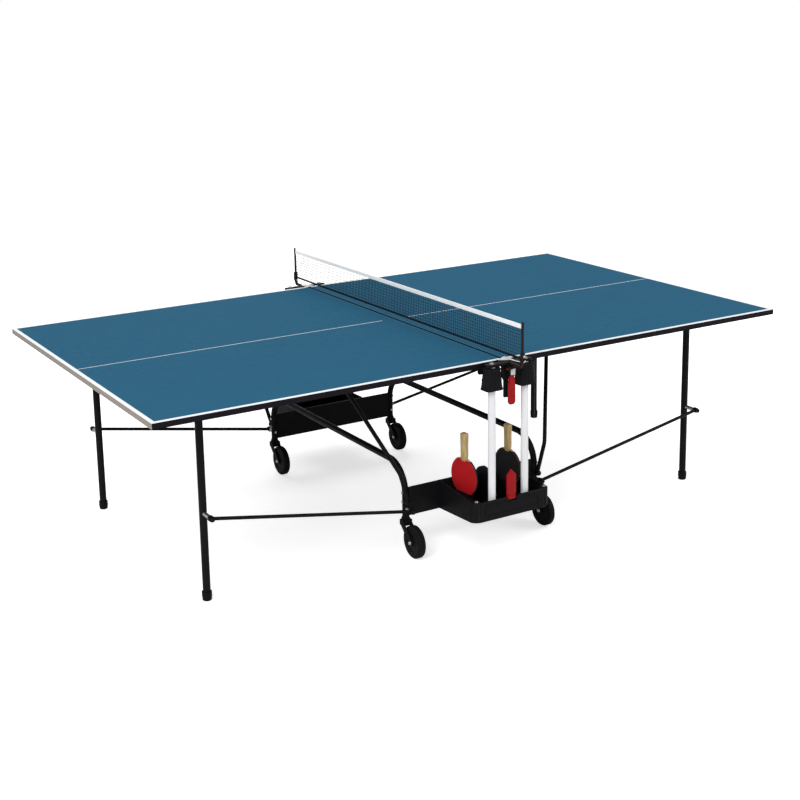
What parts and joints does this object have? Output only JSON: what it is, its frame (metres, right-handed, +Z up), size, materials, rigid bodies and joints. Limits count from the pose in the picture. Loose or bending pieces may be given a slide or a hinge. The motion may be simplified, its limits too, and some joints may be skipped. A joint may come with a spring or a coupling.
{
  "type": "ping pong table",
  "caption": "Folding rollaway table tennis table: hinged top halves on sliding guide posts, swing frames and leg frames, with a wheeled carriage, side trays and a net.",
  "frame": {"origin": "on the floor under the middle of the net", "axes": "+X along the table, +Y across it along the net, +Z up"},
  "size_m": [2.74, 1.782, 0.9125],
  "materials": {
    "playing_board": "satin painted",
    "edge_band": "matte",
    "frame_tube": "satin powder coat",
    "black_plastic": "moulded",
    "carriage_plastic": "moulded",
    "red_plastic": "gloss",
    "hub_plastic": "moulded",
    "tyre_rubber": "matte",
    "zinc_steel": "zinc plated",
    "white_tube": "gloss",
    "net_post_plastic": "moulded",
    "net_cord": "knotted cord",
    "net_tape": "woven",
    "bat_red": "rubber faced",
    "bat_black": "rubber faced"
  },
  "bodies": {
    "carriage": {"arch_left": "frame_tube", "arch_right": "frame_tube", "panel_front": "carriage_plastic", "panel_back": "carriage_plastic", "tray_front": "carriage_plastic", "tray_back": "carriage_plastic", "guide_posts": "white_tube", "post_bridges": "frame_tube", "net_arms": "net_post_plastic", "net_posts": "net_post_plastic", "net_mesh": "net_cord", "net_tape": "net_tape", "carriage_screws": "zinc_steel", "caster_bushes": "black_plastic"},
    "sliders_right": {"sliders_right": "black_plastic"},
    "top_right": {"board_right": "playing_board", "edge_band_right": "edge_band", "underframe_right": "frame_tube", "hinge_plates_right": "frame_tube", "stop_tube_right": "frame_tube"},
    "swing_right": {"swing_frame_right": "frame_tube", "swing_bolts_right": "zinc_steel"},
    "legs_right": {"leg_frame_right": "frame_tube", "leg_feet_right": "black_plastic"},
    "rods_right": {"link_rods_right": "frame_tube", "rod_bolts_right": "zinc_steel"},
    "sliders_left": {"sliders_left": "black_plastic"},
    "top_left": {"board_left": "playing_board", "edge_band_left": "edge_band", "underframe_left": "frame_tube", "hinge_plates_left": "frame_tube", "stop_tube_left": "frame_tube"},
    "swing_left": {"swing_frame_left": "frame_tube", "swing_bolts_left": "zinc_steel"},
    "legs_left": {"leg_frame_left": "frame_tube", "leg_feet_left": "black_plastic"},
    "rods_left": {"link_rods_left": "frame_tube", "rod_bolts_left": "zinc_steel"},
    "caster_front_right": {"caster_fork_front_right": "black_plastic", "wheel_axle_front_right": "zinc_steel"},
    "wheel_front_right": {"wheel_hub_front_right": "hub_plastic", "wheel_tyre_front_right": "tyre_rubber"},
    "caster_front_left": {"caster_fork_front_left": "black_plastic", "wheel_axle_front_left": "zinc_steel"},
    "wheel_front_left": {"wheel_hub_front_left": "hub_plastic", "wheel_tyre_front_left": "tyre_rubber"},
    "release_lever_front": {"release_lever_front": "red_plastic"},
    "tray_latch_front": {"tray_latch_front": "red_plastic"},
    "caster_back_right": {"caster_fork_back_right": "black_plastic", "wheel_axle_back_right": "zinc_steel"},
    "wheel_back_right": {"wheel_hub_back_right": "hub_plastic", "wheel_tyre_back_right": "tyre_rubber"},
    "caster_back_left": {"caster_fork_back_left": "black_plastic", "wheel_axle_back_left": "zinc_steel"},
    "wheel_back_left": {"wheel_hub_back_left": "hub_plastic", "wheel_tyre_back_left": "tyre_rubber"},
    "release_lever_back": {"release_lever_back": "red_plastic"},
    "tray_latch_back": {"tray_latch_back": "red_plastic"},
    "bat_red": {"bat_red": "bat_red"},
    "bat_black": {"bat_black": "bat_black"}
  },
  "joints": [
    {"name": "slide_right", "type": "slide", "parent": "carriage", "child": "sliders_right", "axis": [0, 0, -1], "range_m": [0, 0.4]},
    {"name": "fold_right", "type": "hinge", "parent": "sliders_right", "child": "top_right", "pos_m": [0.074, 0, 0.735], "axis": [0, -1, 0], "range_deg": [0, 90]},
    {"name": "strut_right", "type": "hinge", "parent": "top_right", "child": "swing_right", "pos_m": [0.425, 0, 0.712], "axis": [0, -1, 0], "range_deg": [-53.3, 0]},
    {"name": "leg_right", "type": "hinge", "parent": "top_right", "child": "legs_right", "pos_m": [1.111, 0, 0.725], "axis": [0, -1, 0], "range_deg": [-90, 0]},
    {"name": "rod_right", "type": "hinge", "parent": "carriage", "child": "rods_right", "pos_m": [0.3, 0, 0.178], "axis": [0, -1, 0], "range_deg": [0, 94.85]},
    {"name": "slide_left", "type": "slide", "parent": "carriage", "child": "sliders_left", "axis": [0, 0, -1], "range_m": [0, 0.4]},
    {"name": "fold_left", "type": "hinge", "parent": "sliders_left", "child": "top_left", "pos_m": [-0.074, 0, 0.735], "axis": [0, 1, 0], "range_deg": [0, 90]},
    {"name": "strut_left", "type": "hinge", "parent": "top_left", "child": "swing_left", "pos_m": [-0.425, 0, 0.712], "axis": [0, 1, 0], "range_deg": [-53.3, 0]},
    {"name": "leg_left", "type": "hinge", "parent": "top_left", "child": "legs_left", "pos_m": [-1.111, 0, 0.725], "axis": [0, 1, 0], "range_deg": [-90, 0]},
    {"name": "rod_left", "type": "hinge", "parent": "carriage", "child": "rods_left", "pos_m": [-0.3, 0, 0.178], "axis": [0, 1, 0], "range_deg": [0, 94.85]},
    {"name": "swivel_front_right", "type": "hinge", "parent": "carriage", "child": "caster_front_right", "pos_m": [0.3, -0.552, 0.15], "axis": [0, 0, 1], "continuous": true},
    {"name": "roll_front_right", "type": "hinge", "parent": "caster_front_right", "child": "wheel_front_right", "pos_m": [0.3, -0.614, 0.0625], "axis": [1, 0, 0], "continuous": true},
    {"name": "swivel_front_left", "type": "hinge", "parent": "carriage", "child": "caster_front_left", "pos_m": [-0.3, -0.552, 0.15], "axis": [0, 0, 1], "continuous": true},
    {"name": "roll_front_left", "type": "hinge", "parent": "caster_front_left", "child": "wheel_front_left", "pos_m": [-0.3, -0.614, 0.0625], "axis": [1, 0, 0], "continuous": true},
    {"name": "release_front", "type": "hinge", "parent": "carriage", "child": "release_lever_front", "pos_m": [0, -0.815, 0.736], "axis": [-1, 0, 0], "range_deg": [0, 40]},
    {"name": "latch_front", "type": "hinge", "parent": "carriage", "child": "tray_latch_front", "pos_m": [0, -0.813, 0.236], "axis": [-1, 0, 0], "range_deg": [0, 30]},
    {"name": "swivel_back_right", "type": "hinge", "parent": "carriage", "child": "caster_back_right", "pos_m": [0.3, 0.552, 0.15], "axis": [0, 0, 1], "continuous": true},
    {"name": "roll_back_right", "type": "hinge", "parent": "caster_back_right", "child": "wheel_back_right", "pos_m": [0.3, 0.49, 0.0625], "axis": [1, 0, 0], "continuous": true},
    {"name": "swivel_back_left", "type": "hinge", "parent": "carriage", "child": "caster_back_left", "pos_m": [-0.3, 0.552, 0.15], "axis": [0, 0, 1], "continuous": true},
    {"name": "roll_back_left", "type": "hinge", "parent": "caster_back_left", "child": "wheel_back_left", "pos_m": [-0.3, 0.49, 0.0625], "axis": [1, 0, 0], "continuous": true},
    {"name": "release_back", "type": "hinge", "parent": "carriage", "child": "release_lever_back", "pos_m": [0, 0.815, 0.736], "axis": [1, 0, 0], "range_deg": [0, 40]},
    {"name": "latch_back", "type": "hinge", "parent": "carriage", "child": "tray_latch_back", "pos_m": [0, 0.813, 0.236], "axis": [1, 0, 0], "range_deg": [0, 30]},
    {"name": "lift_bat_red", "type": "slide", "parent": "carriage", "child": "bat_red", "axis": [0, 0, 1], "range_m": [0, 0.25]},
    {"name": "lift_bat_black", "type": "slide", "parent": "carriage", "child": "bat_black", "axis": [0, 0, 1], "range_m": [0, 0.25]}
  ],
  "couplings": [
    {"joint": "slide_right", "follows": "fold_right", "m_per_rad": 0.25458},
    {"joint": "strut_right", "follows": "fold_right", "ratio": -0.59192},
    {"joint": "leg_right", "follows": "fold_right", "ratio": -1},
    {"joint": "rod_right", "follows": "fold_right", "ratio": 1.0534},
    {"joint": "slide_left", "follows": "fold_left", "m_per_rad": 0.25458},
    {"joint": "strut_left", "follows": "fold_left", "ratio": -0.59192},
    {"joint": "leg_left", "follows": "fold_left", "ratio": -1},
    {"joint": "rod_left", "follows": "fold_left", "ratio": 1.0534}
  ]
}
